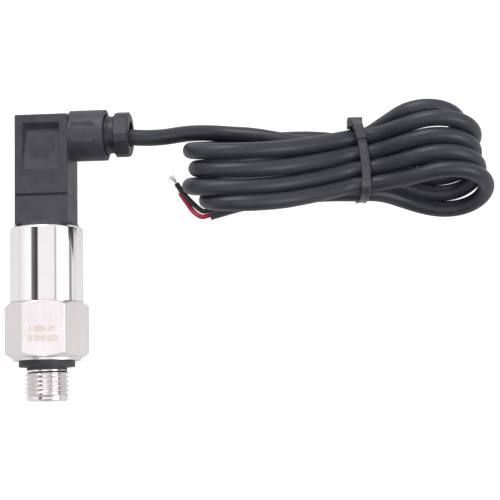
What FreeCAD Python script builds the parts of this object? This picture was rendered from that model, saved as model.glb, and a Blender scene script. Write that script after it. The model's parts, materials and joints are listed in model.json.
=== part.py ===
import FreeCAD, Part
import math
import os
import re
import Sketcher

# A pressure transmitter that lies on a flat surface with one flat of its hexagon down.
# Origin: on the process thread's axis, in the plane of the hexagon's sealing face.
# +Y runs from the thread up the body, +X is the side of the cable outlet, +Z is up.
# The plug and all that it carries are turned about Y by plug_turn from the hexagon's flats.

sizes = [
    # process connection, one turned piece
    ("hex_flats", 22.0), ("hex_length", 17.4), ("hex_edge_radius", 0.35), ("hex_top_circle", 21.6),
    ("hex_top_angle", 33.0),
    ("collar_diameter", 20.4), ("collar_height", 0.7), ("hex_bottom_angle", 30.0),
    ("thread_diameter", 13.157), ("thread_reach", 11.9), ("relief_diameter", 11.6), ("relief_length", 3.2),
    ("lead_in_diameter", 12.2), ("lead_in_length", 1.1), ("lead_in_chamfer", 0.35), ("port_bore", 4.0),
    ("spigot_length", 4.0), ("slip", 0.05),
    # thread seal
    ("seal_diameter", 16.8), ("seal_thickness", 1.8),
    # measuring cell and what holds it
    ("cell_diameter", 17.0), ("cell_thickness", 5.0), ("cell_clearance", 0.1), ("cell_seat_depth", 10.55),
    ("cell_ring_section", 1.5), ("cell_ring_diameter", 12.6), ("lock_ring_bore", 11.6),
    ("lock_ring_thickness", 2.4),
    # sleeve
    ("sleeve_diameter", 21.9), ("sleeve_length", 22.6), ("sleeve_wall", 1.2), ("rim_wall", 0.65),
    ("lip_thickness", 0.75), ("lip_bore", 19.4), ("lip_radius", 1.1),
    # amplifier board
    ("board_diameter", 18.6), ("board_thickness", 1.6), ("board_gap", 4.2), ("pin_diameter", 0.6),
    ("pin_spacing", 2.54), ("chip_width", 5.0), ("chip_length", 6.2), ("chip_height", 1.6),
    ("capacitor_diameter", 3.2), ("capacitor_height", 4.5), ("capacitor_offset", 5.6),
    ("lead_wire_diameter", 1.0),
    # plug base
    ("flange_thickness", 2.0), ("hub_diameter", 16.6), ("hub_depth", 2.4), ("base_ring_section", 1.42),
    ("neck_height", 0.45), ("neck_taper", 1.0), ("neck_flare", 1.0), ("base_height", 8.1),
    ("rim_height", 0.85), ("rim_width", 0.8),
    ("plug_turn", -6.2), ("plug_width", 16.0), ("plug_corner", 0.7), ("plug_edge_radius", 0.35),
    ("blade_width", 2.8), ("blade_thickness", 0.8), ("blade_offset", 4.0), ("blade_reach", 7.6),
    ("blade_tail", 1.8), ("bush_diameter", 4.6), ("bush_length", 6.0),
    # profile gasket
    ("gasket_inset", 0.4),
    # plug housing with its cable spout
    ("housing_height", 23.8), ("cavity_width", 13.0), ("cavity_depth", 11.8), ("insert_height", 11.0),
    ("chamber_depth", 9.6), ("roof_thickness", 2.3), ("boss_diameter", 8.0), ("boss_height", 2.8),
    ("window_width", 11.2), ("window_top_edge", 2.55), ("window_length", 13.9), ("window_depth", 2.0),
    ("window_left_draft", 28.0), ("window_right_draft", 14.0), ("window_top_draft", 43.0),
    ("window_sill", 0.25), ("pad_diameter", 7.9), ("pad_depth", 1.05),
    ("pad_drop", 9.75),
    ("spout_diameter", 15.3), ("spout_level", 67.5), ("spout_reach", 18.5), ("spout_bore", 11.8),
    ("spout_floor", 10.0), ("spout_mouth", 13.2), ("spout_mouth_depth", 0.8), ("spout_edge", 0.6),
    ("passage_bore", 6.0), ("flat_start", 8.95), ("flat_length", 6.4), ("flat_point", 2.8),
    ("flat_width", 6.3),
    ("flat_height", 7.45),
    # terminal insert
    ("socket_width", 3.6), ("socket_thickness", 1.9), ("socket_height", 9.0), ("core_hole", 1.5),
    ("clamp_screw_diameter", 1.6), ("clamp_screw_level", 7.0),
    # retaining screw
    ("screw_diameter", 3.0), ("screw_bite", 5.0), ("screw_running_gap", 0.04), ("screw_head_diameter", 5.4),
    ("screw_head_height", 2.1), ("screw_slot", 0.8), ("screw_slot_depth", 1.1), ("head_recess", 3.8),
    ("washer_thickness", 0.8), ("head_gap", 0.3),
    # cable gland
    ("cable_diameter", 4.6), ("gland_seal_length", 5.0), ("gland_washer_thickness", 1.0),
    ("gland_washer_bore", 6.4), ("nut_bore", 7.9), ("nut_shank_length", 3.0), ("nut_running_gap", 0.06),
    ("nut_neck_diameter", 11.2), ("nut_neck_length", 2.7), ("nut_flare", 0.9), ("nut_flats", 13.0),
    ("nut_corners", 13.75), ("nut_head_length", 4.7), ("nut_chamfer", 0.5), ("nut_back_angle", 30.0),
    ("nut_turn", -14.0),
    # cores, floor level and cable tie
    ("core_diameter", 1.5), ("core_spacing", 1.55), ("tip_diameter", 0.9), ("tip_length", 2.8),
    ("tie_width", 2.6),
    ("tie_thickness", 1.1), ("tie_slant", 5.0), ("tie_place", 95.4), ("tie_head_height", 5.0),
    ("tie_head_width", 4.6), ("tie_head_depth", 3.0),
]

doc = FreeCAD.newDocument("PressureTransmitter")
sheet = doc.addObject("Spreadsheet::Sheet", "Dimensions")
names = set()
for row, (name, value) in enumerate(sizes, start=1):
    sheet.set(f"A{row}", name)
    sheet.set(f"B{row}", str(value))
    sheet.setAlias(f"B{row}", name)
    names.add(name)
doc.recompute()

# heights up the body that several pieces share, as expressions of the sheet
hexTop = "hex_length"
spigotTop = "(hex_length+spigot_length)"
cellSeat = "(hex_length+spigot_length-cell_seat_depth)"
cellTop = f"({cellSeat}+cell_thickness)"
boardFoot = f"({cellTop}+lock_ring_thickness+board_gap)"
boardTop = f"({boardFoot}+board_thickness)"
lipTop = "(hex_length+sleeve_length)"
flangeTop = f"({lipTop}-lip_thickness)"
flangeFoot = f"({flangeTop}-flange_thickness)"
neckTop = f"({lipTop}+neck_height)"
baseTop = f"({neckTop}+base_height)"
gasketTop = f"({baseTop}+rim_height)"
insertTop = f"({gasketTop}+insert_height)"
housingTop = f"({gasketTop}+housing_height)"
headSeat = f"({housingTop}-head_recess)"


def bound(text):
    """Write an expression with each size's name pointing into the sheet."""
    return re.sub(r"[a-z_]+", lambda m: "Dimensions." + m.group() if m.group() in names else m.group(), text)


def size(text):
    return float(sheet.evalExpression(bound(text)))


def bind(thing, place, text):
    thing.setExpression(place, bound(text))


def turnWithPlug(thing):
    bind(thing, "Placement", "placement(vector(0; 0; 0); rotation(vector(0; 1; 0); plug_turn))")


def newBody(label, turned=False):
    body = doc.addObject("PartDesign::Body", label)
    body.Label = label
    if turned:
        turnWithPlug(body)
    return body


def newSketch(body, name, plane, shift):
    sketch = body.newObject("Sketcher::SketchObject", name)
    plane = next(f for f in body.Origin.OriginFeatures if f.Role == plane)
    sketch.AttachmentSupport = (plane, [""])
    sketch.MapMode = "FlatFace"
    for axis, text in zip("xyz", shift):
        if text != "0":
            bind(sketch, f"AttachmentOffset.Base.{axis}", text)
    return sketch


def outline(body, name, plane, corners, shift=("0", "0", "0")):
    """A closed outline through corners, each given as two expressions."""
    sketch = newSketch(body, name, plane, shift)
    at = [(size(x), size(y)) for x, y in corners]
    count = len(corners)
    for i in range(count):
        start = FreeCAD.Vector(*at[i], 0)
        end = FreeCAD.Vector(*at[(i + 1) % count], 0)
        sketch.addGeometry(Part.LineSegment(start, end), False)
    for i in range(count):
        sketch.addConstraint(Sketcher.Constraint("Coincident", i, 2, (i + 1) % count, 1))
    for i, corner in enumerate(corners):
        for kind, value, text in zip(("DistanceX", "DistanceY"), at[i], corner):
            number = sketch.addConstraint(Sketcher.Constraint(kind, -1, 1, i, 1, value))
            bind(sketch, f"Constraints[{number}]", text)
    return sketch


def rings(body, name, plane, circles, shift=("0", "0", "0")):
    """Circles, each given as expressions for its centre and diameter."""
    sketch = newSketch(body, name, plane, shift)
    for i, (x, y, across) in enumerate(circles):
        centre = FreeCAD.Vector(size(x), size(y), 0)
        sketch.addGeometry(Part.Circle(centre, FreeCAD.Vector(0, 0, 1), size(across) / 2), False)
        for kind, value, text in (("DistanceX", centre.x, x), ("DistanceY", centre.y, y)):
            number = sketch.addConstraint(Sketcher.Constraint(kind, -1, 1, i, 3, value))
            bind(sketch, f"Constraints[{number}]", text)
        number = sketch.addConstraint(Sketcher.Constraint("Diameter", i, size(across)))
        bind(sketch, f"Constraints[{number}]", across)
    return sketch


def settle(body, feature, cuts):
    """Recompute a feature, make it the body's tip and see that it did its work."""
    doc.recompute()
    before = feature.BaseFeature.Shape.Volume if feature.BaseFeature else 0.0
    body.Tip = feature
    change = feature.Shape.Volume - before
    if (change >= 0) if cuts else (change <= 0):
        raise RuntimeError(f"{body.Label}: {feature.Name} changed the volume by {change:.3f}")
    return feature


def turn(body, name, corners, cuts=False, along="V_Axis", shift=("0", "0", "0")):
    """Turn a profile in the XY plane about the sketch's own axis."""
    sketch = outline(body, name + "_profile", "XY_Plane", corners, shift)
    feature = body.newObject("PartDesign::Groove" if cuts else "PartDesign::Revolution", name)
    feature.Profile = sketch
    feature.ReferenceAxis = (sketch, [along])
    feature.Angle = 360
    return settle(body, feature, cuts)


def extrude(body, name, sketch, length, cuts=False, other=False, symmetric=False):
    feature = body.newObject("PartDesign::Pocket" if cuts else "PartDesign::Pad", name)
    feature.Profile = sketch
    bind(feature, "Length", length)
    if symmetric:
        feature.SideType = "Symmetric"
    feature.Reversed = other
    return settle(body, feature, cuts)


def square(x0, x1, y0, y1):
    return [(x0, y0), (x1, y0), (x1, y1), (x0, y1)]


def centred(width, depth, x="0", y="0"):
    return square(f"{x}-({width})/2", f"{x}+({width})/2", f"{y}-({depth})/2", f"{y}+({depth})/2")


def upright(body, name, corners, low, high, cuts=False):
    """Extrude an outline of X and Z from one height along Y to another."""
    sketch = outline(body, name + "_outline", "XZ_Plane", corners, ("0", "0", f"-({low})"))
    return extrude(body, name, sketch, f"({high})-({low})", cuts, other=not cuts)


def drilled(body, name, circles, low, high, cuts=True):
    sketch = rings(body, name + "_circles", "XZ_Plane", circles, ("0", "0", f"-({low})"))
    return extrude(body, name, sketch, f"({high})-({low})", cuts, other=not cuts)


def soften(body, name, radius, wanted):
    """Round the edges of the body's tip that the test picks out."""
    base = body.Tip
    edges = [f"Edge{i}" for i, edge in enumerate(base.Shape.Edges, start=1) if wanted(edge)]
    if not edges:
        raise RuntimeError(f"{body.Label}: no edge to round in {name}")
    feature = body.newObject("PartDesign::Fillet", name)
    feature.Base = (base, edges)
    bind(feature, "Radius", radius)
    doc.recompute()
    body.Tip = feature
    return feature


def ringEdge(radius, height):
    """A test for a full circle about Y of a radius, at a height."""
    def wanted(edge):
        curve = edge.Curve
        if not isinstance(curve, Part.Circle):
            return False
        return abs(curve.Radius - size(radius)) < 0.01 and abs(curve.Center.y - size(height)) < 0.01
    return wanted


def alongY(edge):
    span = edge.BoundBox
    return span.XLength < 0.01 and span.ZLength < 0.01 and span.YLength > 0.01


# ---------------------------------------------------------------- process connection
def makeHexFitting():
    body = newBody("hex_fitting")
    point = "hex_flats/sqrt(3)"
    flat = "hex_flats/2"
    corners = [(point, "0"), (f"{point}/2", flat), (f"-{point}/2", flat),
               (f"-{point}", "0"), (f"-{point}/2", f"-{flat}"), (f"{point}/2", f"-{flat}")]
    upright(body, "hexagon", corners, "collar_height", hexTop)
    soften(body, "hexagon_edges", "hex_edge_radius", alongY)
    beyond = "(hex_flats/sqrt(3)+1)"
    turn(body, "top_chamfer", [
        ("hex_top_circle/2", hexTop), (beyond, hexTop),
        (beyond, f"{hexTop}-({beyond}-hex_top_circle/2)*tan(hex_top_angle)")], cuts=True)
    turn(body, "bottom_chamfer", [
        ("collar_diameter/2", "collar_height"),
        (beyond, f"collar_height+({beyond}-collar_diameter/2)*tan(hex_bottom_angle)"),
        (beyond, "collar_height")], cuts=True)
    turn(body, "stem", [
        ("0", "-thread_reach"), ("lead_in_diameter/2-lead_in_chamfer", "-thread_reach"),
        ("lead_in_diameter/2", "-thread_reach+lead_in_chamfer"),
        ("lead_in_diameter/2", "-thread_reach+lead_in_length"),
        ("thread_diameter/2", "-thread_reach+lead_in_length+(thread_diameter-lead_in_diameter)/2"),
        ("thread_diameter/2", "-relief_length-(thread_diameter-relief_diameter)/2"),
        ("relief_diameter/2", "-relief_length"), ("relief_diameter/2", "0"),
        ("collar_diameter/2", "0"), ("collar_diameter/2", "collar_height"), ("0", "collar_height")])
    turn(body, "spigot", [
        ("0", hexTop), ("sleeve_diameter/2-sleeve_wall-slip", hexTop),
        ("sleeve_diameter/2-sleeve_wall-slip", spigotTop), ("0", spigotTop)])
    groove = ("cell_ring_diameter/2-cell_ring_section/2-slip", "cell_ring_diameter/2+cell_ring_section/2+slip")
    turn(body, "port_and_cell_seat", [
        ("0", "-thread_reach-1"), ("port_bore/2", "-thread_reach-1"), ("port_bore/2", cellSeat),
        (groove[0], cellSeat), (groove[0], f"{cellSeat}-cell_ring_section"),
        (groove[1], f"{cellSeat}-cell_ring_section"), (groove[1], cellSeat),
        ("cell_diameter/2+cell_clearance", cellSeat),
        ("cell_diameter/2+cell_clearance", f"{spigotTop}+1"), ("0", f"{spigotTop}+1")], cuts=True)


def makeThreadSeal():
    body = newBody("thread_seal")
    turn(body, "ring", square("relief_diameter/2+slip", "seal_diameter/2", "-seal_thickness", "0"))


# ---------------------------------------------------------------- measuring cell
def makeCellSeal():
    ring = doc.addObject("Part::Torus", "cell_seal")
    ring.Label = "cell_seal"
    bind(ring, "Radius1", "cell_ring_diameter/2")
    bind(ring, "Radius2", "cell_ring_section/2")
    ring.Placement = FreeCAD.Placement(FreeCAD.Vector(), FreeCAD.Rotation(FreeCAD.Vector(1, 0, 0), -90))
    bind(ring, "Placement.Base.y", f"{cellSeat}-cell_ring_section/2")


def makeCell():
    body = newBody("sensor_cell")
    turn(body, "disc", square("0", "cell_diameter/2", cellSeat, cellTop))
    body = newBody("lock_ring")
    turn(body, "ring", square("lock_ring_bore/2", "cell_diameter/2+cell_clearance-slip", cellTop,
                              f"{cellTop}+lock_ring_thickness"))


# ---------------------------------------------------------------- sleeve
def makeSleeve():
    body = newBody("sleeve")
    outer = "sleeve_diameter/2"
    turn(body, "tube", [
        (f"{outer}-sleeve_wall", hexTop), (outer, hexTop), (outer, lipTop), ("lip_bore/2", lipTop),
        ("lip_bore/2", flangeTop), (f"{outer}-rim_wall", flangeTop), (f"{outer}-rim_wall", flangeFoot),
        (f"{outer}-sleeve_wall", flangeFoot)])
    lipWidth = "(sleeve_diameter-lip_bore)/2"
    soften(body, "lip_rounding", f"min(lip_radius; {lipWidth}-slip)", ringEdge(outer, lipTop))


# ---------------------------------------------------------------- amplifier board
def pinPlaces():
    return [(f"{i}*pin_spacing", "0") for i in (-1.5, -0.5, 0.5, 1.5)]


def makeBoard():
    body = newBody("amplifier_board", turned=True)
    drilled(body, "disc", [("0", "0", "board_diameter")], boardFoot, boardTop, cuts=False)
    drilled(body, "pin_holes", [(x, z, "pin_diameter") for x, z in pinPlaces()], boardFoot, boardTop)
    body = newBody("amplifier_chip", turned=True)
    upright(body, "case", centred("chip_width", "chip_length"), boardTop, f"{boardTop}+chip_height")
    for side, sign in (("left", "-"), ("right", "")):
        body = newBody(f"{side}_capacitor", turned=True)
        place = (f"{sign}capacitor_offset", "capacitor_offset/2", "capacitor_diameter")
        drilled(body, "can", [place], boardTop, f"{boardTop}+capacitor_height", cuts=False)


def makeCellPins():
    pins = []
    for number, (x, z) in enumerate(pinPlaces(), start=1):
        pin = doc.addObject("Part::Cylinder", f"cell_pin_{number}")
        bind(pin, "Radius", "pin_diameter/2")
        bind(pin, "Height", f"{boardTop}-{cellTop}")
        pin.Placement = FreeCAD.Placement(FreeCAD.Vector(), FreeCAD.Rotation(FreeCAD.Vector(1, 0, 0), -90))
        bind(pin, "Placement.Base.x", x)
        bind(pin, "Placement.Base.y", cellTop)
        pins.append(pin)
    group = doc.addObject("Part::Compound", "cell_pins")
    group.Label = "cell_pins"
    group.Links = pins
    turnWithPlug(group)


# ---------------------------------------------------------------- plug base and contacts
# four places about the plug's axis: east, west, south and north, each with its own X and Z
contactPlaces = [("east", 1, 0), ("west", -1, 0), ("south", 0, -1), ("north", 0, 1)]


def contactOutline(east, north, width, thickness, offset="blade_offset"):
    """A contact's rectangle, with its width across the line from the plug's axis."""
    if east:
        return centred(thickness, width, x=f"{east}*{offset}")
    return centred(width, thickness, y=f"{north}*{offset}")


def makePlugBase():
    body = newBody("plug_base", turned=True)
    turn(body, "flange_and_neck", [
        ("0", f"{flangeFoot}-hub_depth"), ("hub_diameter/2", f"{flangeFoot}-hub_depth"),
        ("hub_diameter/2", flangeFoot), ("sleeve_diameter/2-rim_wall-slip", flangeFoot),
        ("sleeve_diameter/2-rim_wall-slip", flangeTop), ("lip_bore/2", flangeTop),
        ("lip_bore/2", neckTop), ("lip_bore/2-neck_taper", f"{neckTop}+neck_flare"),
        ("0", f"{neckTop}+neck_flare")])
    upright(body, "block", centred("plug_width", "plug_width"), neckTop, baseTop)
    foot = size(neckTop)
    soften(body, "corners", "plug_corner", lambda edge: alongY(edge) and edge.BoundBox.YMin > foot - 0.1)
    for side, sign in (("left", "-"), ("right", "")):
        middle = f"{sign}(plug_width-rim_width)/2"
        rim = centred("rim_width", "plug_width-2*plug_corner", x=middle)
        upright(body, f"{side}_rim", rim, baseTop, gasketTop)
    for name, east, north in contactPlaces:
        upright(body, f"{name}_slot", contactOutline(east, north, "blade_width", "blade_thickness"),
                f"{flangeFoot}-hub_depth", baseTop, cuts=True)
    drilled(body, "bush_hole", [("0", "0", "bush_diameter")], f"{baseTop}-bush_length", baseTop)
    body = newBody("threaded_bush", turned=True)
    drilled(body, "bush", [("0", "0", "bush_diameter")], f"{baseTop}-bush_length", baseTop, cuts=False)
    drilled(body, "bore", [("0", "0", "screw_diameter+2*screw_running_gap")], f"{baseTop}-bush_length", baseTop)


def makeBaseSeal():
    ring = doc.addObject("Part::Torus", "base_seal")
    ring.Label = "base_seal"
    bind(ring, "Radius1", "(hub_diameter/2+sleeve_diameter/2-sleeve_wall)/2")
    bind(ring, "Radius2", "base_ring_section/2")
    ring.Placement = FreeCAD.Placement(FreeCAD.Vector(), FreeCAD.Rotation(FreeCAD.Vector(1, 0, 0), -90))
    bind(ring, "Placement.Base.y", f"{flangeFoot}-base_ring_section/2")


def makeBlades():
    tailFoot = f"({flangeFoot}-hub_depth-blade_tail)"
    for name, east, north in contactPlaces:
        label = "earth_blade" if name == "north" else f"{name}_blade"
        body = newBody(label, turned=True)
        upright(body, "blade", contactOutline(east, north, "blade_width", "blade_thickness"),
                tailFoot, f"{gasketTop}+blade_reach")
        if name != "south":
            body = newBody(f"{name}_lead_wire", turned=True)
            place = (f"{east}*blade_offset", f"{north}*blade_offset", "lead_wire_diameter")
            drilled(body, "wire", [place], boardTop, tailFoot, cuts=False)


def makeGasket():
    body = newBody("profile_gasket", turned=True)
    upright(body, "sheet", centred("plug_width-2*rim_width-2*slip", "plug_width-2*gasket_inset"),
            baseTop, gasketTop)
    drilled(body, "screw_hole", [("0", "0", "bush_diameter")], baseTop, gasketTop)
    for name, east, north in contactPlaces:
        hole = contactOutline(east, north, "blade_width+2*slip", "blade_thickness+2*slip")
        upright(body, f"{name}_hole", hole, baseTop, gasketTop, cuts=True)


# ---------------------------------------------------------------- plug housing
def makeHousing():
    body = newBody("plug_housing", turned=True)
    spoutShift = ("0", "spout_level", "0")
    upright(body, "block", centred("plug_width", "plug_width"), gasketTop, housingTop)
    soften(body, "corners", "plug_corner", alongY)
    soften(body, "top_edges", "plug_edge_radius", lambda edge: edge.BoundBox.YMin > size(housingTop) - 0.01)
    wall = "(plug_width/2-plug_corner)"
    turn(body, "spout", [
        (wall, "0"), (wall, "spout_diameter/2-spout_edge"), (f"{wall}+spout_edge", "spout_diameter/2"),
        ("spout_reach", "spout_diameter/2"), ("spout_reach", "0")], along="H_Axis", shift=spoutShift)
    flat = [
        ("flat_start", "spout_level-flat_width/2"), ("flat_start+flat_length", "spout_level-flat_width/2"),
        ("flat_start+flat_length+flat_point", "spout_level"),
        ("flat_start+flat_length", "spout_level+flat_width/2"), ("flat_start", "spout_level+flat_width/2")]
    extrude(body, "spout_flat", outline(body, "spout_flat_outline", "XY_Plane", flat), "flat_height")
    # the window in the front face: drafted walls, a floor that rises towards its lower end, a round pad
    front = ("0", "0", "plug_width/2")
    windowTop = f"({housingTop}-window_top_edge)"
    windowFoot = f"({housingTop}-window_top_edge-window_length)"
    mouth = outline(body, "window_mouth", "XY_Plane",
                    square("-window_width/2", "window_width/2", windowFoot, windowTop), front)
    inner = square("-window_width/2+window_depth*tan(window_left_draft)",
                   "window_width/2-window_depth*tan(window_right_draft)",
                   windowFoot, f"{windowTop}-window_depth*tan(window_top_draft)")
    bottom = outline(body, "window_bottom", "XY_Plane", inner, ("0", "0", "plug_width/2-window_depth"))
    window = body.newObject("PartDesign::SubtractiveLoft", "window")
    window.Profile = mouth
    window.Sections = [bottom]
    window.Ruled = True
    settle(body, window, cuts=True)
    floor = [(windowFoot, "plug_width/2-window_depth-0.1"), (windowTop, "plug_width/2-window_depth-0.1"),
             (windowTop, "plug_width/2-window_depth"), (windowFoot, "plug_width/2-window_sill")]
    extrude(body, "window_floor", outline(body, "window_floor_outline", "YZ_Plane", floor), "window_width",
            symmetric=True)
    pad = [("0", f"{housingTop}-pad_drop", "pad_diameter")]
    extrude(body, "pad_clearing", rings(body, "pad_clearing_circle", "XY_Plane", pad, front), "pad_depth",
            cuts=True)
    padFoot = ("0", "0", "plug_width/2-window_depth-0.1")
    extrude(body, "pad", rings(body, "pad_circle", "XY_Plane", pad, padFoot), "window_depth+0.1-pad_depth")
    # inside: the insert's bay, the wiring chamber above it and the boss for the screw's head
    upright(body, "insert_bay", centred("cavity_width", "cavity_depth"), gasketTop, insertTop, cuts=True)
    chamberTop = f"({housingTop}-roof_thickness)"
    upright(body, "wiring_chamber", centred("cavity_width", "chamber_depth"), insertTop, chamberTop, cuts=True)
    bossFoot = f"({chamberTop}-boss_height)"
    drilled(body, "screw_boss", [("0", "0", "boss_diameter")], bossFoot, chamberTop, cuts=False)
    drilled(body, "screw_hole", [("0", "0", "screw_diameter+2*head_gap")], bossFoot, housingTop)
    drilled(body, "head_hole", [("0", "0", "screw_head_diameter+2*head_gap")], headSeat, f"{housingTop}+1")
    turn(body, "spout_bores", [
        ("cavity_width/2-1", "0"), ("cavity_width/2-1", "passage_bore/2"), ("spout_floor", "passage_bore/2"),
        ("spout_floor", "spout_bore/2"), ("spout_reach-spout_mouth_depth", "spout_bore/2"),
        ("spout_reach", "spout_mouth/2"), ("spout_reach+1", "spout_mouth/2"), ("spout_reach+1", "0")],
        cuts=True, along="H_Axis", shift=spoutShift)


def makeInsert():
    body = newBody("terminal_insert", turned=True)
    upright(body, "block", centred("cavity_width-2*slip", "cavity_depth-2*slip"), gasketTop, insertTop)
    drilled(body, "screw_hole", [("0", "0", "screw_diameter+2*head_gap")], gasketTop, insertTop)
    socketFoot = f"({insertTop}-socket_height)"
    for name, east, north in contactPlaces:
        upright(body, f"{name}_bay", contactOutline(east, north, "socket_width", "socket_thickness"),
                socketFoot, insertTop, cuts=True)
        hole = contactOutline(east, north, "blade_width+2*slip", "blade_thickness+2*slip")
        upright(body, f"{name}_entry", hole, gasketTop, socketFoot, cuts=True)
    level = f"{socketFoot}+clamp_screw_level"
    across = "clamp_screw_diameter+2*slip"
    holes = rings(body, "side_holes_circles", "YZ_Plane", [(level, "0", across)])
    extrude(body, "side_holes", holes, "cavity_width", cuts=True, symmetric=True)
    holes = rings(body, "front_holes_circles", "XY_Plane", [("0", level, across)])
    extrude(body, "front_holes", holes, "cavity_width", cuts=True, symmetric=True)


def makeSockets():
    socketFoot = f"({insertTop}-socket_height)"
    for name, east, north in contactPlaces:
        body = newBody(f"{name}_socket", turned=True)
        upright(body, "block", contactOutline(east, north, "socket_width", "socket_thickness"),
                socketFoot, insertTop)
        upright(body, "blade_slot", contactOutline(east, north, "blade_width+2*slip", "blade_thickness+2*slip"),
                socketFoot, f"{gasketTop}+blade_reach+0.3", cuts=True)
        place = (f"{east}*blade_offset", f"{north}*blade_offset", "core_hole")
        drilled(body, "core_hole", [place], f"{insertTop}-1.2", insertTop)


def makeClampScrews():
    level = f"({insertTop}-socket_height)+clamp_screw_level"
    start = "(blade_offset+socket_thickness/2)"
    screws = []
    for name, east, north in contactPlaces:
        screw = doc.addObject("Part::Cylinder", f"{name}_clamp_screw")
        bind(screw, "Radius", "clamp_screw_diameter/2")
        bind(screw, "Height", f"cavity_depth/2-slip-{start}")
        outward = FreeCAD.Vector(east, 0, north)
        facing = FreeCAD.Rotation(FreeCAD.Vector(0, 0, 1), outward)
        screw.Placement = FreeCAD.Placement(FreeCAD.Vector(), facing)
        bind(screw, "Placement.Base.x", f"{east}*{start}")
        bind(screw, "Placement.Base.y", level)
        bind(screw, "Placement.Base.z", f"{north}*{start}")
        screws.append(screw)
    group = doc.addObject("Part::Compound", "clamp_screws")
    group.Label = "clamp_screws"
    group.Links = screws
    turnWithPlug(group)


# ---------------------------------------------------------------- retaining screw
def makeRetainingScrew():
    seat = f"({headSeat}+washer_thickness)"
    body = newBody("screw_washer", turned=True)
    turn(body, "ring", square("screw_diameter/2+screw_running_gap", "screw_head_diameter/2", headSeat, seat))
    body = newBody("retaining_screw", turned=True)
    turn(body, "screw", [
        ("0", f"{baseTop}-screw_bite"), ("screw_diameter/2", f"{baseTop}-screw_bite"),
        ("screw_diameter/2", seat),
        ("screw_head_diameter/2", seat), ("screw_head_diameter/2", f"{seat}+screw_head_height"),
        ("0", f"{seat}+screw_head_height")])
    upright(body, "slot", centred("screw_head_diameter+1", "screw_slot"),
            f"{seat}+screw_head_height-screw_slot_depth", f"{seat}+screw_head_height", cuts=True)


# ---------------------------------------------------------------- cable gland
def makeGland():
    shift = ("0", "spout_level", "0")
    washerStart = "(spout_floor+gland_seal_length)"
    shankStart = "(spout_floor+gland_seal_length+gland_washer_thickness)"
    neckStart = "(spout_floor+gland_seal_length+gland_washer_thickness+nut_shank_length)"
    headStart = "(spout_reach+nut_neck_length)"
    headEnd = "(spout_reach+nut_neck_length+nut_head_length)"
    body = newBody("gland_seal", turned=True)
    turn(body, "bung", square("spout_floor", washerStart, "cable_diameter/2", "spout_bore/2-slip"),
         along="H_Axis", shift=shift)
    body = newBody("gland_washer", turned=True)
    turn(body, "ring", square(washerStart, shankStart, "gland_washer_bore/2", "spout_bore/2-nut_running_gap"),
         along="H_Axis", shift=shift)
    body = newBody("gland_nut", turned=True)
    # the head is a hexagon whose six corners are cut off by narrow flats
    half = "(nut_flats-nut_corners*cos(30))"
    corners = []
    for i in range(6):
        for sign in ("-", "+"):
            angle = f"(nut_turn+{60 * i})"
            corners.append((f"nut_corners/2*cos{angle}{'+' if sign == '-' else '-'}{half}*sin{angle}",
                            f"nut_corners/2*sin{angle}{sign}{half}*cos{angle}"))
    corners = [(f"spout_level+{y}", z) for y, z in corners]
    head = outline(body, "head_outline", "YZ_Plane", corners, ("0", "0", headStart))
    extrude(body, "head", head, "nut_head_length")
    turn(body, "head_front_chamfer", [
        (headEnd, "nut_flats/2-nut_chamfer"), (headEnd, "nut_flats"),
        (f"{headEnd}-(nut_flats/2+nut_chamfer)*tan(nut_back_angle)", "nut_flats")],
        cuts=True, along="H_Axis", shift=shift)
    turn(body, "head_back_chamfer", [
        (headStart, "nut_flats/2-nut_chamfer"),
        (f"{headStart}+(nut_flats/2+nut_chamfer)*tan(nut_back_angle)", "nut_flats"), (headStart, "nut_flats")],
        cuts=True, along="H_Axis", shift=shift)
    shank = "spout_bore/2-nut_running_gap"
    turn(body, "shank_and_neck", [
        (shankStart, "0"), (shankStart, shank), (neckStart, shank),
        (f"{neckStart}+nut_flare", "nut_neck_diameter/2"),
        (headStart, "nut_neck_diameter/2"), (headStart, "0")], along="H_Axis", shift=shift)
    turn(body, "bore", square(f"{shankStart}-1", f"{headEnd}+1", "0", "nut_bore/2"), cuts=True,
         along="H_Axis", shift=shift)


# ---------------------------------------------------------------- cable
def turned(x, y, z):
    """A point of the plug's own frame, turned with the plug."""
    angle = math.radians(size("plug_turn"))
    return (x * math.cos(angle) + z * math.sin(angle), y, z * math.cos(angle) - x * math.sin(angle))


def onSpoutAxis(x):
    return turned(x, size("spout_level"), 0)


def makeCord(label, points, across):
    """A round cord through points: straight runs joined by tangent arcs."""
    points = [FreeCAD.Vector(*point) for point in points]
    runs = [b - a for a, b in zip(points, points[1:])]
    edges, start, radii = [], points[0], []
    for i, corner in enumerate(points[1:-1]):
        into, out = runs[i], runs[i + 1]
        reach = 0.45 * min(into.Length, out.Length)
        before = corner - into.normalize() * reach
        after = corner + FreeCAD.Vector(out).normalize() * reach
        half = runs[i].getAngle(runs[i + 1]) / 2
        radii.append(reach / math.tan(half))
        middle = (before + after) / 2
        inward = (middle - corner).normalize()
        centreGap = radii[-1] / math.cos(half)
        top = corner + inward * (centreGap - radii[-1])
        edges += [Part.LineSegment(start, before).toShape(), Part.Arc(before, top, after).toShape()]
        start = after
    edges.append(Part.LineSegment(start, points[-1]).toShape())
    path = Part.Wire(edges)
    ring = Part.Wire(Part.makeCircle(across / 2, points[0], points[1] - points[0]))
    solid = path.makePipeShell([ring], True, False)
    thing = doc.addObject("Part::Feature", label)
    thing.Label = label
    thing.Shape = solid
    thing.Placement = FreeCAD.Placement()
    share = solid.Volume / (math.pi * across ** 2 / 4 * path.Length)
    print(f"{label}: {path.Length:.1f} mm, least radius {min(radii):.1f}, volume ratio {share:.4f}")


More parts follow.
